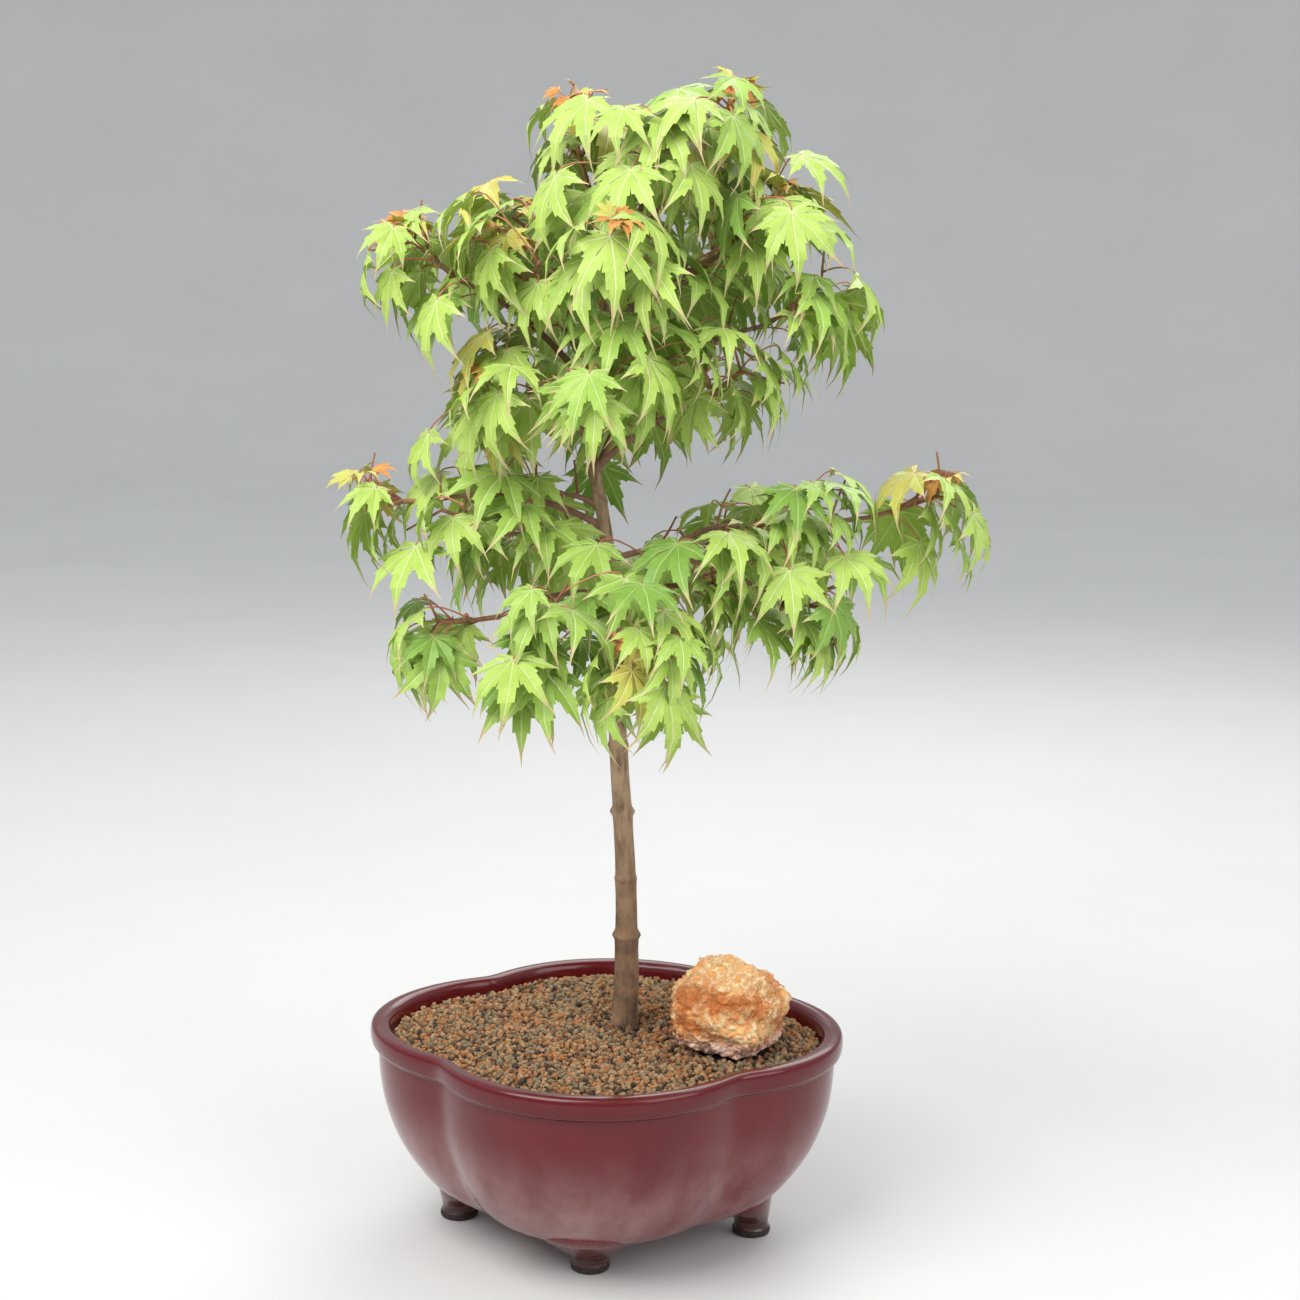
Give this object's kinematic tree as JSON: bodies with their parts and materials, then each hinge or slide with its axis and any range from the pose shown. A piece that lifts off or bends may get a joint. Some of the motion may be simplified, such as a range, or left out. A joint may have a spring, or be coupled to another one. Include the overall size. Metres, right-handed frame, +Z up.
{
  "type": "potted japanese maple",
  "caption": "Young japanese maple trained as a bonsai, with a thin leaning trunk and an open tiered crown of pointed lobed leaves, in a lobed glazed pot with granular soil and a rough stone.",
  "frame": {"origin": "on the surface that the feet stand on, under the middle of the whole plant's bounding box", "axes": "+Z up along the trunk; +X to the right along the pot's long axis, seen from the front; -Y to the front"},
  "size_m": [0.3474, 0.2455, 0.6055],
  "materials": {
    "glazed_ceramic": "gloss",
    "soil": "granular",
    "stone": "rough",
    "bark": "matte",
    "leaves": "satin"
  },
  "bodies": {
    "root": {"pot": "glazed_ceramic", "soil": "soil", "stone": "stone", "trunk": "bark", "bough_top_left": "bark", "bough_top_middle": "bark", "bough_top_right": "bark", "bough_upper_left_outer": "bark", "bough_upper_left": "bark", "bough_upper_front": "bark", "bough_upper_right": "bark", "bough_right_shoulder": "bark", "bough_upper_back_left": "bark", "bough_upper_back_right": "bark", "bough_middle_left": "bark", "bough_middle_front": "bark", "bough_middle_right": "bark", "bough_middle_back": "bark", "bough_middle_left_low": "bark", "bough_far_left": "bark", "bough_low_left_upper": "bark", "bough_low_left": "bark", "bough_low_front_left": "bark", "bough_low_front": "bark", "bough_low_front_right": "bark", "bough_low_right_far": "bark", "bough_low_right": "bark", "bough_low_right_bottom": "bark", "bough_low_back_left": "bark", "bough_low_back_right": "bark", "leaves_top_left": "leaves", "leaves_top_middle": "leaves", "leaves_top_right": "leaves", "leaves_upper_left_outer": "leaves", "leaves_upper_left": "leaves", "leaves_upper_front": "leaves", "leaves_upper_right": "leaves", "leaves_right_shoulder": "leaves", "leaves_upper_back_left": "leaves", "leaves_upper_back_right": "leaves", "leaves_middle_left": "leaves", "leaves_middle_front": "leaves", "leaves_middle_right": "leaves", "leaves_middle_back": "leaves", "leaves_middle_left_low": "leaves", "leaves_far_left": "leaves", "leaves_low_left_upper": "leaves", "leaves_low_left": "leaves", "leaves_low_front_left": "leaves", "leaves_low_front": "leaves", "leaves_low_front_right": "leaves", "leaves_low_right_far": "leaves", "leaves_low_right": "leaves", "leaves_low_right_bottom": "leaves", "leaves_low_back_left": "leaves", "leaves_low_back_right": "leaves"}
  },
  "joints": []
}
